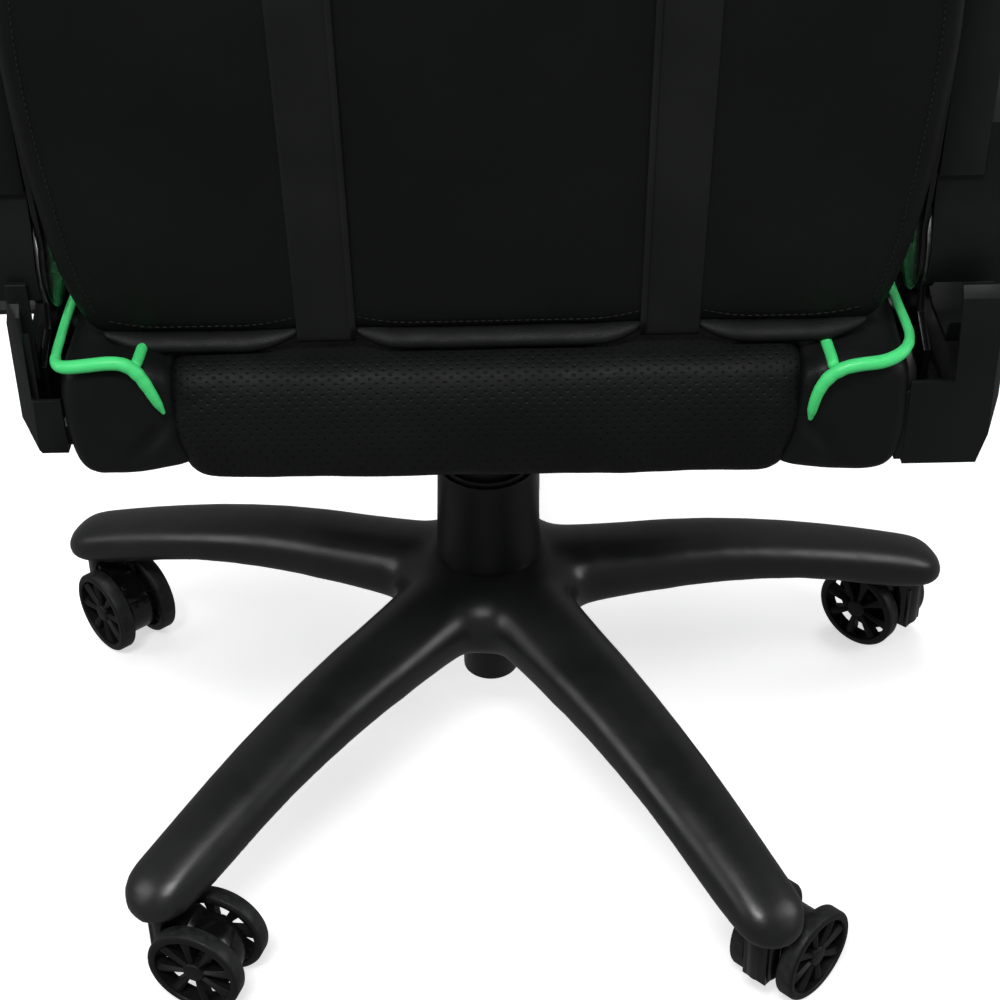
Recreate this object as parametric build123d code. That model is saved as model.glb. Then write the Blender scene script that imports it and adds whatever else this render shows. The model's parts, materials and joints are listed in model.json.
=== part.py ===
"""Gaming chair on a five-star swivel base. Millimetres, +Z up, origin on the floor under the gas lift.

The chair faces -Y. The sitter's right hand is on the -X side, where the recline and height levers are.
Each function returns the solids of one physical piece (or of one group of like fasteners), keyed by node name.
"""
from build123d import *
import math
import os

# ---------------------------------------------------------------- driving dimensions
BASE_R = 328.0            # castor stem circle radius
BASE_YAW = 4.7            # how far the base stands turned from the seat
CASTOR_TRAIL_DIRS = [160.0, 130.0, -80.0, -42.0, 226.0]   # world direction from stem to axle, per arm
WHEEL_R = 32.5
WHEEL_W = 13.0
WHEEL_OFFSET = 18.5       # wheel centre from the castor's middle plane
CASTOR_TRAIL = 28.0
CASTOR_TOP = 65.5         # top of the castor neck
STEM_R = 5.5
STEM_FIT = 0.06           # running clearance, radial
ARM_BOSS_BOTTOM = 66.5

LIFT_TRAVEL = 80.0
TUBE_R = 25.0             # outer tube of the gas lift
CYL_R = 14.0
ROD_R = 5.0
CYL_TOP = 352.0
HUB_TOP = 158.0

SEAT_HALF_W = 234.0
SEAT_PANEL_HALF_W = 177.0
SEAT_REAR_Y = 230.0
SEAT_FRONT_Y = -290.0
SEAT_BOTTOM_Z = 376.0
SEAT_TOP_Z = 455.0
BOLSTER_TOP_Z = 488.0
BOARD_BOTTOM_Z = 389.0
BOARD_T = 12.0

PIVOT_Y, PIVOT_Z = 160.0, 497.0     # recline hinge axis, parallel to X
BACK_LEAN = 11.0                    # degrees from vertical at rest
BACK_FOOT_Y, BACK_FOOT_Z = 201.0, 456.0   # lower rear edge of the backrest
BACK_H = 835.0
BACK_T = 78.0
FOOT_CLEAR_R = 60.5                 # the seat is hollowed to this radius about the recline axis

TILT_Y, TILT_Z = -70.0, 352.0       # rocking axis of the mechanism, parallel to X
PLATE_Z = 386.0                     # underside of the seat plate

SEAT_PLATE_X = 247.5                # inner face of the seat-side hinge plate
BACK_PLATE_X = 239.5                # inner face of the back-side hinge plate
HINGE_T = 4.0
PIN_R = 7.0
PIN_FIT = 0.07

ARM_X = 343.0                       # armrest post axis
ARM_TRAVEL = 70.0

PARTS = {}


def at(x, y, z, shape):
    return Pos(x, y, z) * shape


def cyl(r, z0, z1, x=0.0, y=0.0):
    """Upright cylinder from z0 to z1."""
    return at(x, y, (z0 + z1) / 2, Cylinder(r, z1 - z0))


def cyl_x(r, x0, x1, y, z):
    """Cylinder along X."""
    return at((x0 + x1) / 2, y, z, Rot(0, 90, 0) * Cylinder(r, abs(x1 - x0)))


def cyl_y(r, y0, y1, x, z):
    """Cylinder along Y."""
    return at(x, (y0 + y1) / 2, z, Rot(90, 0, 0) * Cylinder(r, abs(y1 - y0)))


def block(x0, x1, y0, y1, z0, z1):
    lo = (min(x0, x1), min(y0, y1), min(z0, z1))
    hi = (max(x0, x1), max(y0, y1), max(z0, z1))
    size = [b - a for a, b in zip(lo, hi)]
    mid = [(a + b) / 2 for a, b in zip(lo, hi)]
    return at(*mid, Box(*size))


def turned(*points):
    """Solid of revolution about Z from (radius, z) points."""
    face = make_face(Plane.XZ * Polyline(*points, close=True))
    return revolve(face, Axis.Z)


def side_plate(points, x0, x1, round_r=0.0):
    """Plate cut to a (y, z) outline, standing between x0 and x1."""
    outline = Polygon(*points, align=None)
    if round_r:
        outline = fillet(outline.vertices(), round_r)
    lo, hi = min(x0, x1), max(x0, x1)
    return at(lo, 0, 0, extrude(Plane.YZ * outline, hi - lo))


def polar(r, deg, z=0.0):
    return r * math.cos(math.radians(deg)), r * math.sin(math.radians(deg)), z


# ---------------------------------------------------------------- base
def arm_angles():
    """World direction of each arm; arm 1 is behind the chair on the +X side, then clockwise from above."""
    return [90 - BASE_YAW - 36 - 72 * k for k in range(5)]


def star_arm():
    """One arm along +X: a smooth lofted beam that ends in a round castor boss."""
    stations = [  # radius, width, top, bottom
        (20, 66, 158, 102),
        (90, 59, 152, 112),
        (160, 57, 145, 108),
        (235, 53, 129, 97),
        (BASE_R - 20, 48, 102, 71),
    ]
    sections = []
    for r, width, top, bottom in stations:
        plane = Plane(origin=(r, 0, (top + bottom) / 2), x_dir=(0, 1, 0), z_dir=(1, 0, 0))
        sections.append(plane * Ellipse(width / 2, (top - bottom) / 2))
    beam = loft(sections)
    boss = fillet(cyl(24, ARM_BOSS_BOTTOM, 94, BASE_R).faces().sort_by(Axis.Z)[-1].edges(), 9)
    return beam + boss


def base_parts():
    hub = turned((0, 98), (33, 98), (40, 112), (62, 124), (66, 140), (58, 152), (44, HUB_TOP), (0, HUB_TOP))
    star = hub
    for angle in arm_angles():
        star += Rot(0, 0, angle) * star_arm()
    taper = turned((0, 90), (23.4, 90), (23.6, 98), (TUBE_R, 152), (TUBE_R, 170), (0, 170))
    star -= taper
    for angle in arm_angles():
        star -= Rot(0, 0, angle) * cyl(STEM_R + STEM_FIT, 60, 86, BASE_R)
    PARTS["star_base"] = star

    tube = turned((0, 50), (18, 50), (20, 52), (20, 90), (23.34, 91), (23.6, 98), (TUBE_R, 152),
                  (TUBE_R, 300), (0, 300))
    tube -= cyl(20.5, 96, 310)
    tube -= cyl(17, 58, 96.5)
    tube -= cyl(ROD_R + 0.05, 40, 60)
    PARTS["lift_outer_tube"] = tube
    PARTS["lift_guide_bushing"] = cyl(20.5, 180, 299) - cyl(CYL_R + 0.05, 170, 310)
    PARTS["lift_thrust_bearing"] = cyl(15, 58, 66) - cyl(ROD_R + 0.1, 50, 70)
    cover = turned((35.2, HUB_TOP), (37, HUB_TOP), (34.4, 233), (32.8, 233))
    PARTS["column_cover_lower"] = cover


def lift_parts():
    rod = cyl(ROD_R, 52.5, 292) + cyl(12.0, 280, 292)
    collar = cyl(12, 66.3, 69.5)
    PARTS["lift_rod"] = rod + collar
    PARTS["column_cover_middle"] = turned((30.0, 160), (31.9, 160), (31.3, 236), (29.8, 236))
    barrel = turned((0, 84), (CYL_R, 84), (CYL_R, 322), (13.2, CYL_TOP), (0, CYL_TOP))
    barrel -= cyl(12.2, 94, 330)
    barrel -= cyl(ROD_R + 0.06, 80, 95)
    barrel -= cyl(4.06, 325, 360)
    PARTS["lift_cylinder"] = barrel
    PARTS["lift_valve_pin"] = cyl(4.0, 336, 358)
    sleeve = turned((26.0, 170), (27.6, 170), (27.0, 318), (25.4, 318))
    cap = cyl(27.0, 314, 318) - cyl(CYL_R + 0.2, 300, 330)
    PARTS["column_cover_upper"] = sleeve + cap


def castor_parts():
    """Each castor is made standing over its stem axis at the origin, trailing along +X."""
    x_axle, z_axle = CASTOR_TRAIL, WHEEL_R
    hood_outline = Pos(x_axle, z_axle) * Circle(24.5) + Polygon(
        (-9, 24), (14, 24), (30, 50), (20, CASTOR_TOP - 6), (-9, CASTOR_TOP - 6), align=None)
    hood = at(0, 9, 0, extrude(Plane.XZ * hood_outline, 18))
    hood += cyl(11, 26, CASTOR_TOP)
    hood -= cyl_y(4.0, -20, 20, x_axle, z_axle)
    hood -= cyl(STEM_R, 40, CASTOR_TOP + 1)
    stem = cyl(STEM_R, 40, 85) - at(0, 0, 80, Torus(STEM_R + 0.6, 1.2))
    axle = cyl_y(4.0, -23.5, 23.5, x_axle, z_axle)
    wheel_profile = Circle(WHEEL_R) - Circle(26.5) + Circle(6.5)
    for k in range(8):
        wheel_profile += Rot(0, 0, 45 * k) * (Pos(17, 0) * Rectangle(22, 4.2))
    wheel_profile -= Circle(4.06)
    wheel = at(0, WHEEL_W / 2, 0, extrude(Plane.XZ * wheel_profile, WHEEL_W))
    rim_edges = [e for e in wheel.edges().filter_by(GeomType.CIRCLE) if abs(e.radius - WHEEL_R) < 0.01]
    wheel = chamfer(rim_edges, 1.6)
    for n, (arm, trail) in enumerate(zip(arm_angles(), CASTOR_TRAIL_DIRS), start=1):
        x, y, _ = polar(BASE_R, arm)
        place = Pos(x, y, 0) * Rot(0, 0, trail)
        PARTS[f"castor_{n}_hood"] = place * hood
        PARTS[f"castor_{n}_pins"] = Compound(children=[place * stem, place * axle])
        for side, y_off in (("a", WHEEL_OFFSET), ("b", -WHEEL_OFFSET)):
            PARTS[f"castor_{n}_wheel_{side}"] = place * at(x_axle, y_off, z_axle, wheel)


# ---------------------------------------------------------------- tilt mechanism
LEVER_X, LEVER_Z = -28.0, 362.6     # height lever pivot


def mechanism_parts():
    wall = 3.0
    box = block(-48, 48, -135, 70, 322, 356) - block(-48 + wall, 48 - wall, -132, 67, 325, 400)
    front_ears = block(-48, -45, -88, -52, 340, 366) + block(45, 48, -88, -52, 340, 366)
    socket = cyl(22, 318.3, 350)
    housing = box + front_ears + socket
    for y0, y1 in ((6.5, 11), (-11, -6.5)):
        housing += block(LEVER_X - 6, LEVER_X + 6, y0, y1, 325, 369)
    housing -= turned((0, 310), (CYL_R, 310), (CYL_R, 322), (13.2, CYL_TOP), (0, CYL_TOP))
    housing -= cyl_x(6.06, -60, 60, TILT_Y, TILT_Z)
    housing -= cyl_y(3.05, -20, 20, LEVER_X, LEVER_Z)
    housing -= block(-52, -44, -14, 10, 350, 360)
    PARTS["tilt_housing"] = housing

    spring_y = -108.0
    helix = Helix(pitch=9.0, height=27.0, radius=19.0, center=(0, spring_y, 291.5))
    wire = Plane(origin=helix @ 0, z_dir=helix % 0) * Circle(2.6)
    PARTS["tilt_spring"] = sweep(wire, path=helix, is_frenet=True)
    knob = cyl(28, 262, 284, 0, spring_y)
    for k in range(12):
        x, y, _ = polar(29.5, 30 * k)
        knob -= cyl(4.0, 255, 290, x, spring_y + y)
    knob = knob + cyl(6, 284, 319, 0, spring_y)
    PARTS["tension_knob"] = knob

    path = FilletPolyline((7, 0, LEVER_Z), (-70, 0, LEVER_Z), (-120, -20, 326), (-225, -20, 326), radius=18)
    rod = sweep(Plane(origin=path @ 0, z_dir=path % 0) * Circle(4.5), path=path)
    rod += cyl_y(6.3, -6.2, 6.2, LEVER_X, LEVER_Z)
    rod += cyl_y(3.0, -12, 12, LEVER_X, LEVER_Z)
    paddle = block(-268, -205, -36, -4, 322, 330)
    PARTS["height_lever"] = rod + fillet(paddle.edges().filter_by(Axis.Z), 12)


# ---------------------------------------------------------------- seat
def seat_profile():
    """Side outline (y, z) of the seat cushion's middle."""
    return [(SEAT_REAR_Y - 4, 388), (SEAT_REAR_Y, 420), (SEAT_REAR_Y - 8, 447), (SEAT_REAR_Y - 25, SEAT_TOP_Z),
            (60, SEAT_TOP_Z), (-120, SEAT_TOP_Z + 2), (-230, SEAT_TOP_Z + 8), (-272, SEAT_TOP_Z - 4),
            (SEAT_FRONT_Y, 425), (SEAT_FRONT_Y + 6, 392), (SEAT_FRONT_Y + 20, SEAT_BOTTOM_Z),
            (SEAT_REAR_Y - 14, SEAT_BOTTOM_Z)]


def bolster_profile():
    """Side outline (y, z) of a raised side bolster, low under the backrest."""
    return [(SEAT_REAR_Y - 10, 384), (SEAT_REAR_Y - 4, 420), (SEAT_REAR_Y - 8, 452), (SEAT_REAR_Y - 22, 458),
            (96, 458), (60, 476), (10, BOLSTER_TOP_Z), (-180, BOLSTER_TOP_Z + 4), (-262, 472),
            (SEAT_FRONT_Y + 4, 440), (SEAT_FRONT_Y + 8, 395), (SEAT_FRONT_Y + 22, SEAT_BOTTOM_Z),
            (120, SEAT_BOTTOM_Z), (170, 384)]


def hinge_outline(points):
    """Move (across, up) points of the backrest's leaning frame, centred on the recline axis, to (y, z)."""
    lean = math.radians(BACK_LEAN)
    return [(PIVOT_Y + a * math.cos(lean) + u * math.sin(lean),
             PIVOT_Z - a * math.sin(lean) + u * math.cos(lean)) for a, u in points]


def piping_route(side):
    """Green welt along one bolster seam: outer rear corner, across, then down the rear face."""
    return [(side * 233, -215, 488), (side * 233, 10, 484), (side * 233, 100, 459), (side * 233, 206, 459),
            (side * 229, 226, 459), (side * 199, 226, 457), (side * 180, 231, 425), (side * 178, 229, 408)]


def seat_parts():
    plate = block(-95, 95, -135, 118, PLATE_Z, BOARD_BOTTOM_Z)
    for side in (1, -1):
        ear = side_plate([(-100, PLATE_Z), (-88, 344), (-52, 344), (-32, PLATE_Z)], side * 50, side * 54)
        plate += ear - cyl_x(6.0, -70, 70, TILT_Y, TILT_Z)
    PARTS["seat_plate"] = plate

    board = block(-205, 205, SEAT_FRONT_Y + 22, SEAT_REAR_Y - 26, BOARD_BOTTOM_Z, BOARD_BOTTOM_Z + BOARD_T)
    board = fillet(board.edges().filter_by(Axis.Z), 25)

    bolts = [cyl_x(6.0, -58, 58, TILT_Y, TILT_Z)]
    for x in (-80, 80):
        for y in (-118, 100):
            bolts.append(cyl(4, PLATE_Z, 399, x, y) + cyl(7.5, PLATE_Z - 5, PLATE_Z, x, y))
    for side in (1, -1):
        for x, y in ((165, 80), (165, 170), (165, -2), (165, 32)):
            bolts.append(cyl(4, 385, 399, side * x, y) + cyl(7.5, 380.2, 385, side * x, y))
    PARTS["seat_fasteners"] = Compound(children=bolts)
    for bolt in bolts[1:]:
        board -= bolt
    for bolt in bolts[1:5]:
        PARTS["seat_plate"] -= bolt
    PARTS["seat_board"] = board

    plates = []
    brackets = []
    for side in (1, -1):
        outline = [(58, 385), (192, 385), (195, 440), (168, 449), (162, 471), (PIVOT_Y, PIVOT_Z), (131, 490),
                   (112, 450), (58, 405)]
        upright = side_plate(outline, side * SEAT_PLATE_X, side * (SEAT_PLATE_X + HINGE_T))
        upright += cyl_x(31, side * SEAT_PLATE_X, side * (SEAT_PLATE_X + HINGE_T), PIVOT_Y, PIVOT_Z)
        upright -= cyl_x(PIN_R + PIN_FIT, side * 230, side * 270, PIVOT_Y, PIVOT_Z)
        flange = block(side * 150, side * (SEAT_PLATE_X + 0.5), 58, 192, 385, BOARD_BOTTOM_Z)
        plates.append(upright + flange)
        foot = block(side * 150, side * (ARM_X + 18), -15, 45, 385, BOARD_BOTTOM_Z)
        sleeve = block(side * (ARM_X - 18), side * (ARM_X + 18), -16, 46, 385, 575)
        sleeve -= block(side * (ARM_X - 14), side * (ARM_X + 14), -12, 42, 392, 600)
        brackets.append(foot + sleeve)
    for group in (plates, brackets):
        for i, piece in enumerate(group):
            for bolt in bolts[5:]:
                piece -= bolt
            group[i] = piece
    PARTS["seat_hinge_plates"] = Compound(children=plates)
    PARTS["armrest_brackets"] = Compound(children=brackets)

    middle = side_plate(seat_profile(), -SEAT_PANEL_HALF_W, SEAT_PANEL_HALF_W)
    cushion = middle
    for side in (1, -1):
        cushion += side_plate(bolster_profile(), side * (SEAT_PANEL_HALF_W - 1), side * SEAT_HALF_W)
    cushion -= block(-205, 205, SEAT_FRONT_Y + 22, SEAT_REAR_Y - 26, 300, BOARD_BOTTOM_Z + BOARD_T)
    cushion -= cyl_x(FOOT_CLEAR_R, -300, 300, PIVOT_Y, PIVOT_Z)
    for side in (1, -1):
        cushion -= block(side * 200, side * 300, 57, 193, 370, BOARD_BOTTOM_Z + 0.3)
        cushion -= block(side * 200, side * 300, -17, 47, 370, BOARD_BOTTOM_Z + 0.3)
    welts = []
    for side in (1, -1):
        path = FilletPolyline(*piping_route(side), radius=9)
        start = Plane(origin=path @ 0, z_dir=path % 0)
        welts.append(sweep(start * Circle(4.2), path=path))
    for welt in welts:
        cushion -= welt
        cushion = max(cushion.solids(), key=lambda s: s.volume)
    PARTS["seat_cushion"] = cushion
    PARTS["seat_piping"] = Compound(children=welts)


COVER_WALL = 3.0
LEFT_COVER = {   # outlines of the shell seen from above (x, y) and from the rear (x, z), with the rear step
    "bottom": 400, "step": (252, 436), "inner": 252, "solid_to": 205,
    "plan": [(236, -60), (262, -60), (262, 210), (251, 224), (236, 224)],
    "rear": [(236, 360), (251, 360), (251, 400), (262, 417), (262, 520), (236, 520)],
}
RIGHT_COVER = {
    "bottom": 381, "step": (260, 437), "inner": 254, "solid_to": None,
    "plan": [(236, -60), (288, -60), (288, 214), (282, 224), (236, 224)],
    "rear": [(236, 360), (277, 360), (278, 381), (288, 421), (288, 520), (236, 520)],
}


def shell_solid(side, side_view, plan, rear, shrink=0.0):
    """Solid with these outlines seen from the side (y, z), above (x, y) and the rear (x, z), shrunk by a wall."""
    def face(points):
        outline = Polygon(*points, align=None)
        return offset(outline, -shrink) if shrink else outline

    open_side = 20.0 if shrink else 0.0
    widened = [[(side * (x - open_side * (x < 237)), v) for x, v in view] for view in (plan, rear)]
    solid = extrude(Plane.YZ * face(side_view), 400, both=True)
    solid &= at(0, 0, 400, extrude(face(widened[0]), 400, both=True))
    solid &= extrude(Plane.XZ * face(widened[1]), 400, both=True)
    return solid


def seat_cover(side, shape):
    """Seat-side hinge cover: a thin shell, hollowed under the recline axis, stepped down beside the cushion."""
    low = shape["bottom"]
    side_view = [(222, low), (224, 440), (223, 470), (220, 488), (215, 494), (205, 494), (190, 446), (150, 443),
                 (118, 452), (98, 462), (20, 442), (-28, 424), (-36, 404), (-26, 386), (60, low - 14)]
    views = (side_view, shape["plan"], shape["rear"])
    cavity = shell_solid(side, *views, shrink=COVER_WALL)
    if shape["solid_to"]:            # the narrow left cover stays solid beside the hinge plate
        cavity -= block(side * shape["inner"], side * 300, -100, shape["solid_to"], 300, 600)
    shell = shell_solid(side, *views) - cavity
    x_step, z_step = shape["step"]
    shell -= block(side * 230, side * x_step, 100, 300, z_step, 600)
    shell -= block(side * 230, side * shape["inner"], -100, 196, 300, 600)
    shell -= cyl_x(53, -400, 400, PIVOT_Y, PIVOT_Z)
    shell -= block(-400, 400, -17, 47, 340, 391)
    return max(shell.solids(), key=lambda s: s.volume)


def recliner_spring(side):
    """Flat clock spring round the recline pin, made of half turns that step outward."""
    strip, step, width = 1.6, 3.0, 8.0
    coil = None
    for k in range(6):
        r = 10.0 + step * k / 2
        centre = 0.0 if k % 2 == 0 else step / 2
        ring = Pos(centre, 0) * (Circle(r + strip / 2) - Circle(r - strip / 2))
        half = Pos(0, 25 if k % 2 == 0 else -25) * Rectangle(120, 50)
        piece = ring & half
        coil = piece if coil is None else coil + piece
    lo = min(side * 253.0, side * (253.0 + width))
    return Pos(lo, PIVOT_Y, PIVOT_Z) * extrude(Plane.YZ * coil, width)


def hinge_cover_parts():
    PARTS["seat_hinge_cover_left"] = seat_cover(1, LEFT_COVER)
    right = seat_cover(-1, RIGHT_COVER)
    lever_y, lever_z = 60.0, 420.0
    boss = cyl_x(9, -254, -283, lever_y, lever_z)
    right = right + boss - cyl_x(5.06, -240, -300, lever_y, lever_z)
    PARTS["seat_hinge_cover_right"] = right
    PARTS["recline_springs"] = Compound(children=[recliner_spring(1), recliner_spring(-1)])
    arm = [(lever_y + 14, lever_z - 12), (lever_y + 14, lever_z + 12), (lever_y - 20, lever_z + 14),
           (-78, 440), (-92, 432), (-92, 418), (-78, 412), (lever_y - 20, lever_z - 14)]
    lever = side_plate(arm, -288, -298, 5.0) + cyl_x(5.0, -256, -290, lever_y, lever_z)
    PARTS["recline_lever"] = lever


# ---------------------------------------------------------------- backrest
def lean(shape):
    """Carry a shape from the backrest's own upright frame (origin at its lower rear edge) into place."""
    return Pos(0, BACK_FOOT_Y, BACK_FOOT_Z) * Rot(-BACK_LEAN, 0, 0) * shape


BACK_STATIONS = [  # height, half width, wing depth in front of the centre panel
    (0, 214, 0), (14, 223, 2), (80, 237, 22), (190, 242, 44), (330, 232, 40), (450, 248, 30),
    (560, 268, 44), (620, 262, 40), (690, 206, 22), (745, 176, 12), (800, 160, 6), (BACK_H, 136, 0),
]


def back_section(half_w, wing, thickness):
    """Half-open C of the backrest at one height: flat rear, padded wings at the sides."""
    t = thickness
    pts = [(-half_w + 6, 0), (half_w - 6, 0), (half_w, -10), (half_w, -t * 0.6), (half_w - 14, -t - wing),
           (half_w - 48, -t - wing), (half_w - 92, -t), (-half_w + 92, -t), (-half_w + 48, -t - wing),
           (-half_w + 14, -t - wing), (-half_w, -t * 0.6), (-half_w, -10)]
    return make_face(Polyline(*pts, close=True))


def rail_frame(grow=0.0):
    """Welded square-tube frame: two uprights, three cross tubes."""
    g = grow
    frame = None
    for side in (1, -1):
        upright = block(side * (212 - g), side * (232 + g), -50 - g, -30 + g, 40 - g, 330 + g)
        upper = block(side * (150 - g), side * (170 + g), -50 - g, -30 + g, 310 - g, 760 + g)
        tie = block(side * (150 - g), side * (232 + g), -50 - g, -30 + g, 310 - g, 330 + g)
        frame = upright + upper + tie if frame is None else frame + upright + upper + tie
    for z in (40, 310, 740):
        half = 232 if z == 40 else 170
        frame += block(-half - g, half + g, -50 - g, -30 + g, z - g, z + 20 + g)
    return frame


def belt_slot(side):
    """Belt opening beside the neck, right through the backrest."""
    slot = SlotCenterToCenter(70, 42)
    tilted = Pos(side * 92, 640) * Rot(0, 0, 90 - side * 14) * slot
    return at(0, 200, 0, extrude(Plane.XZ * tilted, 400))


STRAP_X = (88.0, -103.0)
STRAP_W, STRAP_T = 32.0, 1.6


def lumbar_strap(x, grow=0.0):
    """Elastic strap: pillow, down the front, under the foot, up the rear, through the belt opening and down."""
    lo, hi = x - STRAP_W / 2 - grow, x + STRAP_W / 2 + grow
    rear, front, g = 0.4, -BACK_T - 0.2, grow
    low, high = 2.0, 606.0
    runs = [block(lo, hi, rear - g, rear + STRAP_T + g, low - g, high + g),
            block(lo, hi, front - STRAP_T - g, rear + STRAP_T + g, low - g, low + STRAP_T + g),
            block(lo, hi, front - STRAP_T - g, front + g, low - g, 70),
            block(lo, hi, front - STRAP_T - g, rear + STRAP_T + g, high - STRAP_T - g, high + g),
            block(lo, hi, front - STRAP_T - g, front + g, 218, high + g)]
    strap = runs[0]
    for run in runs[1:]:
        strap += run
    return strap


def headrest_band(grow=0.0):
    """Elastic band round the backrest's neck that holds the headrest pillow."""
    outline = back_section(204, 18, BACK_T - 4)
    ring = offset(outline, 1.8 + grow) - offset(outline, 0.2 - grow)
    return at(0, 0, 706, extrude(ring, 30))


def rounded_block(x0, x1, y0, y1, z0, z1, r):
    return fillet(block(x0, x1, y0, y1, z0, z1).edges(), r)


def back_parts():
    sections = []
    for z, half_w, wing in BACK_STATIONS:
        thickness = BACK_T if z < 650 else BACK_T - (z - 650) * 0.12
        if z == 0:
            thickness = BACK_T - 22
        sections.append(Plane(origin=(0, 0, z), x_dir=(1, 0, 0), z_dir=(0, 0, 1)) *
                        back_section(half_w, wing, thickness))
    foam = loft(sections, ruled=True)
    for side in (1, -1):
        foam -= belt_slot(side)
        foam -= block(side * 237.6, side * 300, -100, 20, -20, 300)
    frame = rail_frame()
    foam -= rail_frame(0.3)

    pins = []
    bolt_holes = []
    for side in (1, -1):
        pin = cyl_x(PIN_R, side * (BACK_PLATE_X - 1.0), side * 262, PIVOT_Y, PIVOT_Z)
        disc = cyl_x(30, side * (BACK_PLATE_X + HINGE_T), side * (SEAT_PLATE_X - 0.4), PIVOT_Y, PIVOT_Z)
        pins.append(pin + disc)
        for up in (110, 165):
            bolt = lean(cyl_x(4, side * 222, side * (BACK_PLATE_X + HINGE_T), -40, up)
                        + cyl_x(7.5, side * (BACK_PLATE_X + HINGE_T), side * 247.3, -40, up))
            pins.append(bolt)
            bolt_holes.append(bolt)
    PARTS["recline_pins"] = Compound(children=pins)
    foam, frame = lean(foam), lean(frame)
    for bolt in bolt_holes:
        foam -= bolt
        frame -= bolt
    foam &= cyl_x(FOOT_CLEAR_R - 2.0, -300, 300, PIVOT_Y, PIVOT_Z) + block(-300, 300, -200, 600, PIVOT_Z - 8, 1500)

    plates = []
    for side in (1, -1):
        inner, outer = side * BACK_PLATE_X, side * (BACK_PLATE_X + HINGE_T)
        neck = side_plate(hinge_outline([(-24, 0), (26, 0), (24, 150), (-20, 150)]), inner, outer)
        plate = neck + cyl_x(33, inner, outer, PIVOT_Y, PIVOT_Z)
        plate -= cyl_x(PIN_R, side * 230, side * 270, PIVOT_Y, PIVOT_Z)
        for bolt in bolt_holes:
            plate -= bolt
        plates.append(plate)
    PARTS["back_hinge_plates"] = Compound(children=plates)

    straps = [lumbar_strap(x) for x in STRAP_X]
    PARTS["back_frame"] = frame
    for x in STRAP_X:
        foam -= lean(block(x - 17, x + 17, -BACK_T - 60, 30, -30, 3.7))
        foam -= lean(lumbar_strap(x, 0.15))
    foam -= lean(headrest_band(0.1))
    PARTS["back_cushion"] = max(foam.solids(), key=lambda s: s.volume)
    PARTS["elastic_straps"] = Compound(children=[lean(s) for s in straps + [headrest_band()]])

    lumbar = rounded_block(-155, 155, -BACK_T - 92, -BACK_T - 2.4, 62, 225, 30)
    PARTS["lumbar_pillow"] = lean(lumbar)
    head = rounded_block(-130, 130, -BACK_T - 74, -BACK_T - 2.6, 702, 818, 28)
    PARTS["headrest_pillow"] = lean(head)


def back_cover(side, x_out_foot, x_out_post):
    """Back-side hinge cover: a flared foot round the hinge that narrows to a slim post up the backrest's side."""
    foot = side_plate(hinge_outline([(-42, -2), (38, -5), (37, 16), (27, 38), (22, 60), (22, 92), (-30, 92),
                                     (-42, 30)]), side * 244.2, side * x_out_foot)
    post = side_plate(hinge_outline([(-30, 60), (26, 60), (14, 180), (6, 205), (-24, 205)]),
                      side * 244.2, side * x_out_post)
    body = foot + post
    foot_hollow = side_plate(hinge_outline([(-39, -30), (35, -30), (34, 15), (24, 37), (19, 60), (19, 89),
                                            (-27, 89), (-39, 28)]), side * 240, side * (x_out_foot - 3))
    post_hollow = side_plate(hinge_outline([(-27, 50), (23, 60), (11, 178), (4, 202), (-21, 202)]),
                             side * 240, side * (x_out_post - 3))
    return body - foot_hollow - post_hollow


def back_cover_parts():
    PARTS["back_hinge_cover_left"] = back_cover(1, 280, 268)
    PARTS["back_hinge_cover_right"] = back_cover(-1, 292, 268)


# ---------------------------------------------------------------- armrests
def armrest_parts():
    for name, side in (("left", 1), ("right", -1)):
        post = block(side * (ARM_X - 13.7), side * (ARM_X + 13.7), -11.7, 41.7, 430, 600)
        shroud = block(side * (ARM_X - 20), side * (ARM_X + 20), -20, 50, 578, 640)
        tray = block(side * (ARM_X - 70), side * (ARM_X + 12), -60, 60, 640, 645)
        button_seat = block(side * (ARM_X + 12), side * (ARM_X + 30), 2, 28, 600, 622)
        PARTS[f"armrest_post_{name}"] = post + shroud + tray - button_seat
        pad = block(side * (ARM_X - 85), side * (ARM_X + 11), -190, 70, 645, 672)
        pad = fillet(pad.edges().filter_by(Axis.Z), 30)
        PARTS[f"armrest_pad_{name}"] = fillet(pad.faces().sort_by(Axis.Z)[-1].edges(), 9)
        button = block(side * (ARM_X + 15.5), side * (ARM_X + 23), 2.4, 27.6, 600.4, 621.6)
        PARTS[f"armrest_button_{name}"] = button


def main():
    base_parts()
    lift_parts()
    castor_parts()
    mechanism_parts()
    seat_parts()
    hinge_cover_parts()
    back_parts()
    back_cover_parts()
    armrest_parts()
    os.makedirs("parts", exist_ok=True)
    for node, shape in PARTS.items():
        export_step(shape, f"parts/{node}.step")
    print(len(PARTS), "nodes")


main()
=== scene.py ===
"""Looks for the gaming chair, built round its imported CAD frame.

Blender works in metres, +Z up, and the chair faces -Y. Shape numbers here are in millimetres and are scaled
once, in new_piece(). The backrest is drawn in its own upright frame (y = 0 is its rear face) and leaned back.
"""
import json
import math

import bmesh
import bpy
import numpy as np
from mathutils import Matrix, Vector, noise


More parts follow.
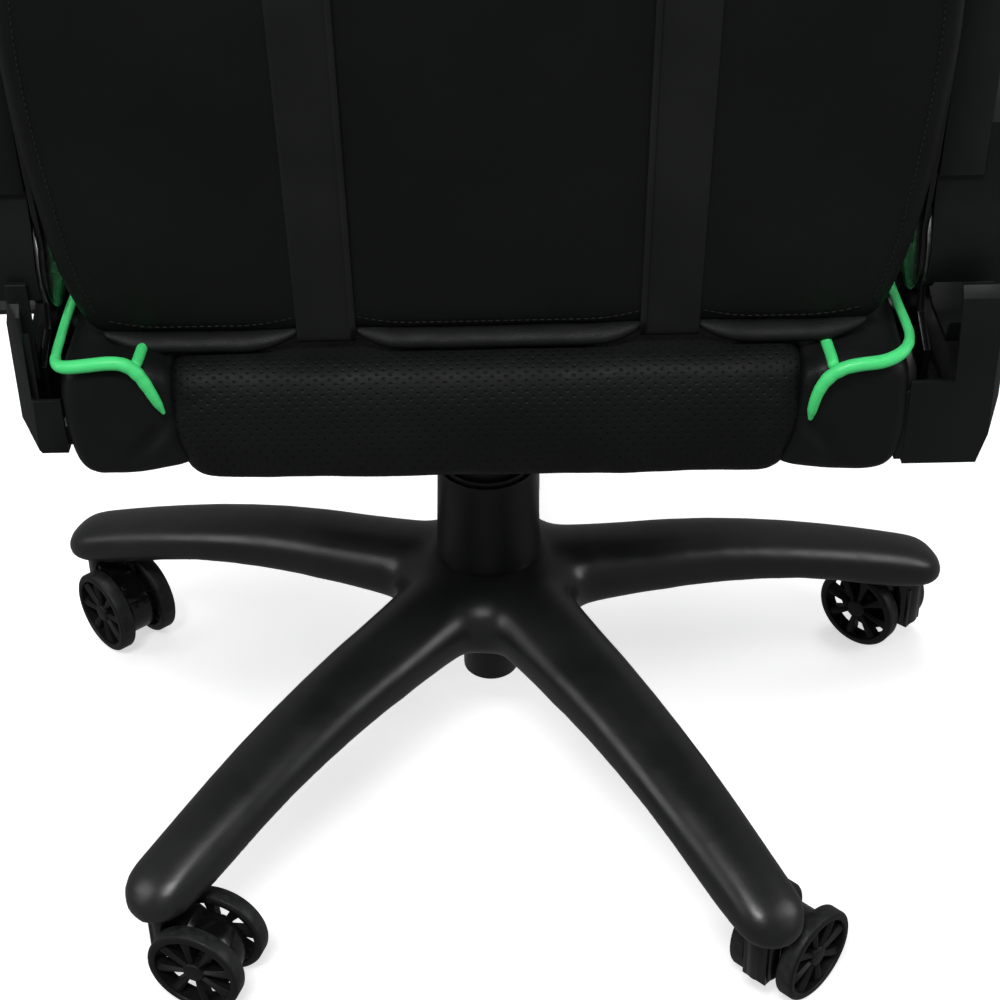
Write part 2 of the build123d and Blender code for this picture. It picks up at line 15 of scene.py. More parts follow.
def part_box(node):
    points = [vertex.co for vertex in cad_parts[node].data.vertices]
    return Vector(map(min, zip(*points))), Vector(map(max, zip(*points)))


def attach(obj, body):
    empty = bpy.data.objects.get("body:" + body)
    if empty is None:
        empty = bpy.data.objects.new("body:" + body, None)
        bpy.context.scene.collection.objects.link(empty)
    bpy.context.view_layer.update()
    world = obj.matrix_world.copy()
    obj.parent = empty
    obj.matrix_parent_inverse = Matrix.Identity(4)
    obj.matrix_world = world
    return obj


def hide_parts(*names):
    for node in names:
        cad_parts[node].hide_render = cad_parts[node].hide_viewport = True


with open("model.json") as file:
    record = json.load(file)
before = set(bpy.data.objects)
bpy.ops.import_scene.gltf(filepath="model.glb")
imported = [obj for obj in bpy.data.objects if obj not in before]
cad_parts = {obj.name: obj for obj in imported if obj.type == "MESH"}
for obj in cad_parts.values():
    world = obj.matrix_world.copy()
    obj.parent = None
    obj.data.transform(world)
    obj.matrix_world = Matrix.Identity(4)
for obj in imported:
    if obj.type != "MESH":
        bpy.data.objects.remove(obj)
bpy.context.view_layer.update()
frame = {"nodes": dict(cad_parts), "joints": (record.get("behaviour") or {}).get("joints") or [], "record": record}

MM = 0.001
scene = bpy.context.scene
NODES = frame["nodes"]
JOINTS = {j["name"]: j for j in frame["joints"]}
SLOTS = {p["node"]: p["material_slot"] for p in frame["record"]["subparts"]}

# ------------------------------------------------------------------ camera, light and floor
CAMERA_AT = (0.0, 1.240, 1.103)
CAMERA_PITCH = 36.08        # degrees below the horizon
CAMERA_ROLL = -1.15
CAMERA_LENS = 78.84
CAMERA_SHIFT = 0.012


def make_camera():
    data = bpy.data.cameras.new("camera")
    data.lens = CAMERA_LENS
    data.shift_x = CAMERA_SHIFT
    camera = bpy.data.objects.new("camera", data)
    scene.collection.objects.link(camera)
    turn = Matrix.Rotation(math.pi, 4, "Z") @ Matrix.Rotation(math.radians(90 - CAMERA_PITCH), 4, "X")
    roll = Matrix.Rotation(math.radians(CAMERA_ROLL), 4, "Z")
    camera.matrix_world = Matrix.Translation(CAMERA_AT) @ turn @ roll
    scene.camera = camera


def area_light(name, place, aim, size, power):
    data = bpy.data.lights.new(name, "AREA")
    data.shape = "RECTANGLE"
    data.size, data.size_y = size
    data.energy = power
    light = bpy.data.objects.new(name, data)
    scene.collection.objects.link(light)
    light.location = place
    light.rotation_euler = (Vector(aim) - Vector(place)).to_track_quat("-Z", "Y").to_euler()


def make_light():
    area_light("overhead_softbox", (0.0, -0.9, 2.6), (0, 0, 0.3), (1.6, 1.2), 30)
    area_light("rear_key", (0.25, 1.7, 2.6), (0, 0.1, 0.25), (0.9, 0.5), 38)
    area_light("left_softbox", (2.4, 0.7, 1.5), (0, 0, 0.3), (1.0, 1.4), 13)
    area_light("right_softbox", (-2.4, 0.5, 1.5), (0, 0, 0.3), (1.0, 1.4), 16)
    world = bpy.data.worlds.new("studio")
    scene.world = world
    world.use_nodes = True
    back = world.node_tree.nodes["Background"]
    back.inputs["Color"].default_value = (1, 1, 1, 1)
    back.inputs["Strength"].default_value = 0.2
    scene.view_settings.view_transform = "Standard"


def make_floor():
    bpy.ops.mesh.primitive_plane_add(size=14, location=(0, 0, 0))
    floor = bpy.context.active_object
    floor.name = "floor"
    floor.data.materials.append(pale_floor())
    floor.visible_glossy = False
    floor.visible_diffuse = False


# ------------------------------------------------------------------ material building blocks
HOLE_PITCH = 0.0075         # perforations of the seat: spacing in a row, between rows, and hole radius
HOLE_ROWS = 0.0038
HOLE_R = 0.00066


class Nodes:
    """A small wrapper for writing node trees in few words."""

    def __init__(self, name):
        self.material = bpy.data.materials.new(name)
        self.material.use_nodes = True
        self.tree = self.material.node_tree
        self.shader = self.tree.nodes["Principled BSDF"]
        self.place = self.add("ShaderNodeTexCoord").outputs["Object"]

    def add(self, kind, **settings):
        node = self.tree.nodes.new(kind)
        for key, value in settings.items():
            setattr(node, key, value)
        return node

    def link(self, a, b):
        self.tree.links.new(a, b)

    def set(self, **values):
        for key, value in values.items():
            self.shader.inputs[key.replace("_", " ")].default_value = value

    def mapped(self, scale):
        node = self.add("ShaderNodeMapping")
        node.inputs["Scale"].default_value = scale
        self.link(self.place, node.inputs["Vector"])
        return node.outputs["Vector"]

    def noise(self, scale, detail=3.0, rough=0.5, vector=None):
        node = self.add("ShaderNodeTexNoise")
        node.inputs["Scale"].default_value = scale
        node.inputs["Detail"].default_value = detail
        node.inputs["Roughness"].default_value = rough
        self.link(vector or self.place, node.inputs["Vector"])
        return node.outputs["Fac"]

    def cells(self, scale):
        node = self.add("ShaderNodeTexVoronoi", feature="DISTANCE_TO_EDGE")
        node.inputs["Scale"].default_value = scale
        self.link(self.place, node.inputs["Vector"])
        return node.outputs["Distance"]

    def math(self, operation, a, b=0.0, c=0.0):
        node = self.add("ShaderNodeMath", operation=operation)
        for socket, value in zip(node.inputs, (a, b, c)):
            if hasattr(value, "is_linked"):
                self.link(value, socket)
            else:
                socket.default_value = value
        return node.outputs[0]

    def ramp(self, value, low, high, out_low=0.0, out_high=1.0):
        node = self.add("ShaderNodeMapRange")
        node.clamp = True
        self.link(value, node.inputs["Value"])
        for key, number in zip(("From Min", "From Max", "To Min", "To Max"), (low, high, out_low, out_high)):
            node.inputs[key].default_value = number
        return node.outputs["Result"]

    def mix(self, factor, a, b):
        node = self.add("ShaderNodeMix", data_type="RGBA")
        self.link(factor, node.inputs["Factor"])
        for socket, value in ((node.inputs[6], a), (node.inputs[7], b)):
            if hasattr(value, "is_linked"):
                self.link(value, socket)
            else:
                socket.default_value = (*value, 1)
        return node.outputs[2]

    def bump(self, height, depth, strength=1.0, after=None):
        node = self.add("ShaderNodeBump")
        node.inputs["Strength"].default_value = strength
        node.inputs["Distance"].default_value = depth
        self.link(height, node.inputs["Height"])
        if after is not None:
            self.link(after, node.inputs["Normal"])
        return node.outputs["Normal"]

    def finish(self, color=None, rough=None, normal=None):
        for key, value in (("Base Color", color), ("Roughness", rough), ("Normal", normal)):
            if value is None:
                continue
            if hasattr(value, "is_linked"):
                self.link(value, self.shader.inputs[key])
            elif key == "Base Color":
                self.shader.inputs[key].default_value = (*value, 1)
            else:
                self.shader.inputs[key].default_value = value
        return self.material


def pale_floor():
    n = Nodes("pale_floor")
    tint = n.mix(n.noise(3.0), (0.86, 0.86, 0.86), (0.90, 0.90, 0.90))
    n.set(Specular_IOR_Level=0.1, Emission_Color=(1, 1, 1, 1), Emission_Strength=0.6)
    return n.finish(tint, 0.8)


def leather(name, dark, light, rough, spec):
    """Fine-grained PU leather: small pebbles, finer pores, and slow blotches in colour and polish."""
    n = Nodes(name)
    grain = n.ramp(n.cells(820), 0.0, 0.35)
    pores = n.noise(2600, 2)
    blotch = n.noise(9, 4)
    color = n.mix(n.ramp(blotch, 0.35, 0.65), dark, light)
    polish = n.ramp(n.noise(60, 3), 0.3, 0.7, rough - 0.05, rough + 0.07)
    n.set(Specular_IOR_Level=spec)
    normal = n.bump(grain, 0.00012, 0.55)
    normal = n.bump(pores, 0.00006, 0.4, normal)
    normal = n.bump(n.noise(38, 3), 0.0012, 0.18, normal)
    return n.finish(color, polish, normal)


def perforated(name, dark, light):
    """Seat leather with staggered rows of small round holes, laid out by X and by Z - Y; each hole is a bump dip
    painted near-black as the shade inside it.
    """
    n = Nodes(name)
    split = n.add("ShaderNodeSeparateXYZ")
    n.link(n.place, split.inputs[0])
    row = n.math("DIVIDE", n.math("SUBTRACT", split.outputs["Z"], split.outputs["Y"]), HOLE_ROWS)
    index = n.math("FLOOR", row)
    stagger = n.math("MULTIPLY", n.math("MODULO", n.math("ABSOLUTE", index), 2.0), 0.5)
    column = n.math("ADD", n.math("DIVIDE", split.outputs["X"], HOLE_PITCH), stagger)
    across = n.math("MULTIPLY", n.math("SUBTRACT", n.math("FRACT", column), 0.5), HOLE_PITCH)
    along = n.math("MULTIPLY", n.math("SUBTRACT", n.math("SUBTRACT", row, index), 0.5), HOLE_ROWS)
    squares = [n.math("MULTIPLY", way, way) for way in (across, along)]
    reach = n.math("SQRT", n.math("ADD", *squares))
    hole_shade = n.ramp(reach, HOLE_R * 0.6, HOLE_R * 1.3, 1.0, 0.0)
    grain = n.ramp(n.cells(820), 0.0, 0.35)
    color = n.mix(n.ramp(n.noise(9, 4), 0.35, 0.65), dark, light)
    # painted shade: the inside of each perforation is painted near-black instead of being cut
    color = n.mix(hole_shade, color, (0.001, 0.001, 0.001))
    n.set(Specular_IOR_Level=0.17)
    normal = n.bump(grain, 0.00012, 0.5)
    normal = n.bump(n.ramp(reach, HOLE_R * 0.5, HOLE_R * 2.2), 0.0007, 0.6, normal)
    normal = n.bump(n.noise(38, 3), 0.0012, 0.2, normal)
    return n.finish(color, n.ramp(n.noise(60, 3), 0.3, 0.7, 0.5, 0.62), normal)


def tread(name, dark, light):
    """Castor nylon that has picked up pale dust round its rolling edge; the wheel's own axis is Y."""
    n = Nodes(name)
    split = n.add("ShaderNodeSeparateXYZ")
    n.link(n.place, split.inputs[0])
    squares = [n.math("MULTIPLY", split.outputs[k], split.outputs[k]) for k in ("X", "Z")]
    radius = n.math("SQRT", n.math("ADD", *squares))
    edge = n.ramp(radius, 0.0310, 0.0324)
    dust = n.math("MULTIPLY", edge, n.ramp(n.noise(160, 5, 0.6), 0.35, 0.7, 0.15, 0.9))
    scratch = n.noise(700, 2, vector=n.mapped((1, 0.1, 1)))
    color = n.mix(n.ramp(n.noise(40, 4), 0.3, 0.7), dark, light)
    color = n.mix(dust, color, (0.035, 0.037, 0.036))
    n.set(Specular_IOR_Level=0.28)
    return n.finish(color, n.ramp(scratch, 0.3, 0.7, 0.38, 0.55), n.bump(scratch, 0.00006, 0.4))


def plastic(name, dark, light, rough, spec, texture=1500, depth=0.00008, strength=0.4):
    """Moulded plastic or paint: spark-eroded texture, faint flow marks, some polish where it is handled."""
    n = Nodes(name)
    color = n.mix(n.ramp(n.noise(14, 4), 0.35, 0.65), dark, light)
    polish = n.ramp(n.noise(45, 4), 0.3, 0.7, rough - 0.05, rough + 0.06)
    n.set(Specular_IOR_Level=spec)
    normal = n.bump(n.noise(texture, 2), depth, strength)
    return n.finish(color, polish, normal)


def steel(name, color, rough):
    n = Nodes(name)
    streak = n.noise(900, 2, vector=n.mapped((1, 1, 0.04)))
    tint = n.mix(n.ramp(streak, 0.3, 0.7), tuple(c * 0.85 for c in color), color)
    polish = n.ramp(streak, 0.3, 0.7, rough, rough + 0.12)
    n.set(Metallic=1.0)
    return n.finish(tint, polish, n.bump(streak, 0.00002, 0.3))


MATERIALS = {}
# slot: (darker colour, lighter colour, roughness, specular[, texture scale, texture depth, bump strength])
PLASTICS = {
    "base_nylon": ((0.010, 0.0105, 0.0105), (0.015, 0.0155, 0.0155), 0.33, 0.55, 900, 0.00012, 0.4),
    "lift_steel": ((0.007, 0.007, 0.007), (0.010, 0.010, 0.010), 0.35, 0.4),
    "bushing_plastic": ((0.5, 0.5, 0.47), (0.6, 0.6, 0.57), 0.5, 0.4),
    "column_plastic": ((0.006, 0.0065, 0.0065), (0.009, 0.0095, 0.0095), 0.42, 0.3),
    "mechanism_paint": ((0.008, 0.008, 0.008), (0.012, 0.012, 0.012), 0.45, 0.35, 700),
    "hinge_gloss_paint": ((0.003, 0.003, 0.003), (0.005, 0.005, 0.005), 0.27, 0.4, 300, 0.0001, 0.2),
    "lever_plastic": ((0.009, 0.009, 0.010), (0.013, 0.013, 0.014), 0.5, 0.3),
    "lever_steel": ((0.008, 0.008, 0.008), (0.012, 0.012, 0.012), 0.35, 0.4),
    "board_wood": ((0.008, 0.008, 0.008), (0.014, 0.014, 0.014), 0.85, 0.2, 400, 0.0003, 0.5),
    "thread": ((0.009, 0.010, 0.010), (0.015, 0.016, 0.016), 0.75, 0.2),
    "elastic_webbing": ((0.013, 0.0135, 0.0135), (0.018, 0.0185, 0.0185), 0.8, 0.15),
    "cover_plastic": ((0.006, 0.007, 0.007), (0.009, 0.010, 0.010), 0.5, 0.22, 2200),
    "armrest_pu": ((0.009, 0.009, 0.010), (0.013, 0.013, 0.014), 0.6, 0.25, 1200, 0.0001, 0.5),
    "castor_gloss_plastic": ((0.004, 0.004, 0.004), (0.006, 0.006, 0.006), 0.18, 0.5, 200, 0.0001, 0.15)}
LEATHERS = {  # slot: (darker colour, lighter colour, roughness, specular)
    "seat_leather": ((0.0055, 0.006, 0.006), (0.0085, 0.009, 0.009), 0.44, 0.21),
    "back_leather": ((0.005, 0.0055, 0.0055), (0.0075, 0.008, 0.008), 0.50, 0.19),
    "pillow_leather": ((0.006, 0.0065, 0.0065), (0.009, 0.0095, 0.0095), 0.43, 0.24),
    "green_piping": ((0.085, 0.90, 0.25), (0.10, 0.95, 0.29), 0.34, 0.4)}


def make_materials():
    for slot, values in PLASTICS.items():
        MATERIALS[slot] = plastic(slot, *values)
    for slot, values in LEATHERS.items():
        MATERIALS[slot] = leather(slot, *values)
    m = MATERIALS
    m["bearing_steel"] = steel("bearing_steel", (0.55, 0.55, 0.54), 0.3)
    m["perforated_leather"] = perforated("perforated_leather", (0.0055, 0.006, 0.006), (0.0085, 0.009, 0.009))
    m["castor_wheel_nylon"] = tread("castor_wheel_nylon", (0.006, 0.006, 0.0065), (0.010, 0.010, 0.0105))


# ------------------------------------------------------------------ curves and meshes
def catmull(points, samples, closed=False):
    """A smooth curve through the points, evenly spaced along its length."""
    pts = np.array(points, float)
    if closed:
        pts = np.vstack([pts[-1], pts, pts[0], pts[1]])
    else:
        pts = np.vstack([2 * pts[0] - pts[1], pts, 2 * pts[-1] - pts[-2]])
    dense = []
    for a, b, c, d in zip(pts, pts[1:], pts[2:], pts[3:]):
        t = np.linspace(0, 1, 24, endpoint=False)[:, None]
        dense.append(0.5 * (2 * b + (c - a) * t + (2 * a - 5 * b + 4 * c - d) * t ** 2
                            + (3 * b - a - 3 * c + d) * t ** 3))
    dense = np.vstack(dense + [pts[-2][None]])
    length = np.concatenate([[0], np.cumsum(np.linalg.norm(np.diff(dense, axis=0), axis=1))])
    wanted = np.linspace(0, length[-1], samples, endpoint=not closed)
    return np.stack([np.interp(wanted, length, dense[:, k]) for k in range(dense.shape[1])], 1)


def profile(pairs):
    """A smooth function through (x, value) pairs."""
    curve = catmull(pairs, 300)
    return lambda x: np.interp(x, curve[:, 0], curve[:, 1])


def rounded(corners, arc=6, edge=4):
    """A closed outline from (x, y, rounding) corners, with equal point counts at every corner and edge."""
    pts = np.array([c[:2] for c in corners], float)
    reach = np.array([c[2] for c in corners], float)
    out = []
    n = len(pts)
    for i in range(n):
        before, here, after = pts[i - 1], pts[i], pts[(i + 1) % n]
        to_before, to_after = before - here, after - here
        cut_a = min(reach[i], 0.48 * np.linalg.norm(to_before))
        cut_b = min(reach[i], 0.48 * np.linalg.norm(to_after))
        a = here + to_before / max(np.linalg.norm(to_before), 1e-9) * cut_a
        b = here + to_after / max(np.linalg.norm(to_after), 1e-9) * cut_b
        t = np.linspace(0, 1, arc)[:, None]
        out.append((1 - t) ** 2 * a + 2 * t * (1 - t) * here + t ** 2 * b)
        next_cut = min(reach[(i + 1) % n], 0.48 * np.linalg.norm(to_after))
        c = after - to_after / max(np.linalg.norm(to_after), 1e-9) * next_cut
        t = np.linspace(0, 1, edge + 2)[1:-1, None]
        out.append(b + (c - b) * t)
    return np.vstack(out)


def inset(outline, amount):
    """Move a closed outline inward by amount along its own normals (negative moves it outward)."""
    ahead, behind = np.roll(outline, -1, 0), np.roll(outline, 1, 0)
    along = ahead - behind
    along /= np.maximum(np.linalg.norm(along, axis=1, keepdims=True), 1e-9)
    normal = np.stack([-along[:, 1], along[:, 0]], 1)
    area = 0.5 * np.sum(outline[:, 0] * ahead[:, 1] - ahead[:, 0] * outline[:, 1])
    return outline + normal * amount * np.sign(area)


def new_piece(name, verts, faces, body, material, nodes=(), smooth=True):
    """A mesh object, in millimetres, that rides on a body and may stand for CAD nodes."""
    mesh = bpy.data.meshes.new(name)
    mesh.from_pydata([tuple(v) for v in np.asarray(verts, float) * MM], [], [tuple(f) for f in faces])
    mesh.validate()
    work = bmesh.new()
    work.from_mesh(mesh)
    bmesh.ops.recalc_face_normals(work, faces=work.faces)
    work.to_mesh(mesh)
    work.free()
    mesh.polygons.foreach_set("use_smooth", [smooth] * len(mesh.polygons))
    obj = bpy.data.objects.new(name, mesh)
    scene.collection.objects.link(obj)
    mesh.materials.append(MATERIALS[material])
    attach(obj, body)
    for node in nodes:
        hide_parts(node)
    return obj


def ladder(start, n):
    """Faces that close a ring of n points with a ladder of quads between its two halves."""
    if n <= 20:
        return [tuple(range(start, start + n))]
    pairs = [(j, n - 1 - j) for j in range(n // 2)]
    return [(start + a, start + c, start + d, start + b) for (a, b), (c, d) in zip(pairs, pairs[1:])]


def skin(rings, loop=False):
    """(vertices, faces) of a skin over equal rings; loop joins the last ring to the first."""
    rings = np.array(rings, float)
    m, n = rings.shape[:2]
    faces = []
    for i in range(m if loop else m - 1):
        for j in range(n):
            k, up = (j + 1) % n, (i + 1) % m
            faces.append((i * n + j, i * n + k, up * n + k, up * n + j))
    if not loop:
        faces += ladder(0, n) + ladder((m - 1) * n, n)
    return rings.reshape(-1, 3), faces


def join(parts):
    """One (vertices, faces) from several."""
    verts, faces, start = [], [], 0
    for v, f in parts:
        verts.append(np.asarray(v, float))
        faces += [tuple(i + start for i in face) for face in f]
        start += len(v)
    return np.vstack(verts), faces


def revolve(points, steps=72, axis="Z"):
    """(vertices, faces) of a closed (radius, height) outline turned about an axis."""
    rings = []
    for k in range(steps):
        a = 2 * math.pi * k / steps
        ring = [(r * math.cos(a), r * math.sin(a), h) for r, h in points]
        rings.append([(x, h, y) for x, y, h in ring] if axis == "Y" else ring)
    return skin(rings, loop=True)


def tube(path, radius, sides=12, loop=False):
    """(vertices, faces) of a round tube along a path; radius may be a list; loop closes the path."""
    path = np.array(path, float)
    radii = np.broadcast_to(radius, len(path))
    rings = []
    up = Vector((0.03, 0.05, 1.0)).normalized()
    last = len(path) - 1
    turn = [2 * math.pi * k / sides for k in range(sides)]
    for i, p in enumerate(path):
        after = (i + 1) % (last + 1) if loop else min(i + 1, last)
        ahead = Vector(path[after] - path[i - 1 if loop else max(i - 1, 0)]).normalized()
        side = ahead.cross(up)
        if side.length < 0.2:
            side = ahead.cross(Vector((1, 0, 0)))
        side.normalize()
        up = side.cross(ahead).normalized()
        across, over = np.array(side), np.array(up)
        rings.append([p + radii[i] * (math.cos(a) * across + math.sin(a) * over) for a in turn])
    return skin(rings, loop=loop)


def apply_modifiers(obj):
    graph = bpy.context.evaluated_depsgraph_get()
    mesh = bpy.data.meshes.new_from_object(obj.evaluated_get(graph))
    obj.modifiers.clear()
    old, obj.data = obj.data, mesh
    bpy.data.meshes.remove(old)
    mesh.polygons.foreach_set("use_smooth", [True] * len(mesh.polygons))


def subdivide(obj, levels=1):
    mod = obj.modifiers.new("subdivide", "SUBSURF")
    mod.levels = mod.render_levels = levels
    apply_modifiers(obj)


def remesh(obj, voxel, smooth=0):
    """Fuse overlapping solids into one skin of even quads and soften its inner corners."""
    mod = obj.modifiers.new("remesh", "REMESH")
    mod.mode = "VOXEL"
    mod.voxel_size = voxel * MM
    if smooth:
        soften = obj.modifiers.new("soften", "SMOOTH")
        soften.factor = 0.5
        soften.iterations = smooth
    apply_modifiers(obj)


def soften_edges(obj, width=0.8, segments=3, angle=30, weld=True):
    """Round the sharp edges of a hard part without touching its mesh."""
    if weld:
        obj.modifiers.new("weld", "WELD").merge_threshold = 0.00001
    bevel = obj.modifiers.new("bevel", "BEVEL")
    bevel.width = width * MM
    bevel.segments = segments
    bevel.limit_method = "ANGLE"
    bevel.angle_limit = math.radians(angle)
    bevel.use_clamp_overlap = True
    bevel.harden_normals = True
    obj.data.polygons.foreach_set("use_smooth", [True] * len(obj.data.polygons))


def displace(obj, move):
    """Move every vertex along its normal by move(position in mm), in mm."""
    mesh = obj.data
    normals = [v.normal.copy() for v in mesh.vertices]
    for v, normal in zip(mesh.vertices, normals):
        v.co += normal * move(v.co / MM) * MM
    mesh.update()


CLOTH_VOXEL = 5.0
CLOTH_PRESSURE = 4.0
CLOTH_FRAMES = 20


def puff(obj, cap):
    """Blow a cushion's cover up with the cloth solver, keeping each point within cap mm of its start."""
    remesh(obj, CLOTH_VOXEL)
    start = np.array([v.co for v in obj.data.vertices])
    cloth = obj.modifiers.new("cloth", "CLOTH")
    cloth.settings.use_pressure = True
    cloth.settings.uniform_pressure_force = CLOTH_PRESSURE
    cloth.settings.quality = 6
    cloth.settings.tension_stiffness = 15
    cloth.settings.bending_stiffness = 0.5
    cloth.settings.effector_weights.gravity = 0
    for n in range(1, CLOTH_FRAMES + 1):
        scene.frame_set(n)
    graph = bpy.context.evaluated_depsgraph_get()
    after = np.array([v.co for v in obj.evaluated_get(graph).data.vertices])
    obj.modifiers.clear()
    scene.frame_set(1)
    step = after - start
    length = np.maximum(np.linalg.norm(step, axis=1, keepdims=True), 1e-9)
    end = start + step * np.minimum(1, cap * MM / length)
    obj.data.vertices.foreach_set("co", end.ravel())
    obj.data.update()
    subdivide(obj)


STITCH_PITCH = 4.0
STITCH_LENGTH = 2.8
STITCH_R = 0.42


def stitches(name, paths, body, material):
    """A row of short raised thread stitches along each path."""
    parts = []
    radii = [STITCH_R * 0.35, STITCH_R * 0.9, STITCH_R, STITCH_R * 0.9, STITCH_R * 0.35]
    for path in paths:
        path = np.array(path, float)
        total = float(np.sum(np.linalg.norm(np.diff(path, axis=0), axis=1)))
        count = max(2, int(total / STITCH_PITCH))
        dots = catmull(path, count * 2)
        for a, b in zip(dots[::2], dots[1::2]):
            ahead = (b - a) / max(np.linalg.norm(b - a), 1e-9)
            mid = (a + b) / 2
            ends = [mid + ahead * STITCH_LENGTH * t for t in (-0.5, -0.3, 0.0, 0.3, 0.5)]
            parts.append(tube(ends, radii, 6))
    verts, faces = join(parts)
    return new_piece(name, verts, faces, body, material)


def fold(p, a, b, width):
    """1 on the segment from a to b, falling to 0 over width; all are 3-D points in mm."""
    a, b, p = Vector(a), Vector(b), Vector(p)
    t = max(0.0, min(1.0, (p - a).dot(b - a) / (b - a).length_squared))
    away = (p - (a + (b - a) * t)).length
    ends = math.sin(math.pi * (0.12 + 0.76 * t))
    return ends * math.exp(-(away / width) ** 2)


# ------------------------------------------------------------------ star base, column and castors
BASE_R = 328.0
BASE_YAW = 4.7              # degrees clockwise, seen from above
ARM_ANGLES = [90 - BASE_YAW - 36 - 72 * k for k in range(5)]
ARM_TOP = profile([(0, 156), (40, 158), (75, 154), (112, 149), (160, 143.5), (211, 133), (263, 119),
                   (300, 107.5), (326, 98), (342, 90), (352, 78)])
ARM_LOW = profile([(0, 108), (60, 109), (125, 110), (174, 106), (224, 98), (262, 87), (300, 73), (328, 67),
                   (352, 67)])
ARM_HALF_W = profile([(0, 34), (60, 33.5), (110, 30.5), (160, 28), (235, 26), (300, 24.2), (328, 23.4)])


def arm_ring(r):
    """One arm's cross-section: domed top with round shoulders, upright sides, nearly flat underside."""
    tip = max(0.0, (r - BASE_R) / 24.5)
    half_w = ARM_HALF_W(min(r, BASE_R)) * math.sqrt(max(0.0, 1 - tip ** 2.2))
    top, low = ARM_TOP(r), ARM_LOW(r)
    waist = low + 0.42 * (top - low)
    ring = []
    for k in range(36):
        a = 2 * math.pi * k / 36
        c, s = math.cos(a), math.sin(a)
        power = 2.35 if s > 0 else 3.6
        shape = (abs(c) ** power + abs(s) ** power) ** (-1 / power)
        height = (top - waist) if s > 0 else (waist - low)
        ring.append((r, half_w * shape * c, waist + height * shape * s))
    return np.array(ring)


def turn_z(verts, degrees):
    a = math.radians(degrees)
    c, s = math.cos(a), math.sin(a)
    return np.asarray(verts) @ np.array([[c, s, 0], [-s, c, 0], [0, 0, 1]])


def build_base():
    radii = [0, 20, 50, 80, 110, 140, 170, 200, 230, 260, 285, 305, 320, 330, 338, 344, 348.5, 351.5]
    verts, faces = skin([arm_ring(r) for r in radii])
    solids = [(turn_z(verts, angle), faces) for angle in ARM_ANGLES]
    hub = [(0.01, 98), (26, 98), (34, 99), (44, 104), (58, 107), (66, 114), (69, 126), (67, 138), (62, 147),
           (52, 154), (44, 157.5), (38.5, 160), (34, 160), (0.01, 160)]
    solids.append(revolve(hub, 96))
    base = new_piece("star_base_shell", *join(solids), "base", "base_nylon", ["star_base"])
    remesh(base, 2.4, smooth=8)
    blend = base.vertex_groups.new(name="blend")
    for v in base.data.vertices:
        reach = math.hypot(v.co.x, v.co.y) / MM
        weight = min(1.0, max(0.0, (reach - 40) / 12)) * min(1.0, max(0.0, (128 - reach) / 40))
        blend.add([v.index], weight, "REPLACE")
    soften = base.modifiers.new("blend", "SMOOTH")
    soften.factor = 0.5
    soften.iterations = 90
    soften.vertex_group = "blend"
    apply_modifiers(base)


SPOKES = 8
SPOKE_SECTIONS = [  # (radius, half width, ridge height) along a wheel spoke
    (5.5, 1.7, 4.8), (10, 1.9, 5.2), (18, 2.7, 5.4), (24, 3.7, 5.3), (27.4, 4.8, 4.8)]


def wheel_mesh():
    """A twin-castor wheel round its own Y axis: bevelled rim, ridged spokes that widen outward, hub."""
    rim = [(26.6, -5.6), (27.4, -6.5), (30.0, -6.5), (32.0, -5.2), (32.45, -4.2), (32.45, 4.2), (32.0, 5.2),
           (30.0, 6.5), (27.4, 6.5), (26.6, 5.6)]
    hub = [(0.01, -6.0), (4.6, -6.0), (6.4, -5.6), (7.4, -4.6), (7.4, 4.6), (6.4, 5.6), (4.6, 6.0),
           (0.01, 6.0)]
    parts = [revolve(rim, 96, "Y"), revolve(hub, 48, "Y")]
    for k in range(SPOKES):
        rings = []
        for r, half_w, ridge in SPOKE_SECTIONS:
            flat = ridge - 2.0
            ring = [(r, -half_w, -flat), (r, -half_w * 0.18, -ridge), (r, half_w * 0.18, -ridge),
                    (r, half_w, -flat), (r, half_w, flat), (r, half_w * 0.18, ridge),
                    (r, -half_w * 0.18, ridge), (r, -half_w, flat)]
            rings.append([(x, y, z) for x, z, y in ring])
        verts, faces = skin(rings)
        a = 2 * math.pi * k / SPOKES + math.radians(11)
        spin = np.array([[math.cos(a), 0, math.sin(a)], [0, 1, 0], [-math.sin(a), 0, math.cos(a)]])
        parts.append((verts @ spin, faces))
    return join(parts)


def build_castors():
    verts, faces = wheel_mesh()
    for n in range(1, 6):
        for side in "ab":
            node = f"castor_{n}_wheel_{side}"
            joint = JOINTS[f"{node}_spin"]
            low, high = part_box(node)
            axis = Vector(joint["axis"]).normalized()
            up = Vector((0, 0, 1))
            turn = Matrix((axis.cross(up), axis, up)).transposed().to_4x4()
            wheel = new_piece(f"{node}_detail", verts, faces, node, "castor_wheel_nylon", smooth=False)
            wheel.parent = None
            wheel.matrix_world = Matrix.Translation((low + high) / 2) @ turn
            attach(wheel, node)
            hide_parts(node)
            soften_edges(wheel, 0.35, 2, 25, weld=False)


# ------------------------------------------------------------------ seat
SEAT_MIDDLE = [  # (y, z, rounding) corners of the middle's side outline
    (222, 376, 12), (231, 404, 14), (230, 436, 12), (221, 453, 14), (200, 453.5, 10), (160, 436.2, 26),
    (112, 452, 16), (60, 455, 30), (-120, 459, 60), (-232, 466, 30), (-283, 457, 30), (-293, 415, 25),
    (-283, 380, 16), (-252, 376, 12), (-240, 376, 4), (-236, 399, 4), (196, 399, 4), (200, 376, 4)]
SEAT_HALF = 177.0
SEAT_SHOULDER = 16.0        # width over which each side of the middle rounds off


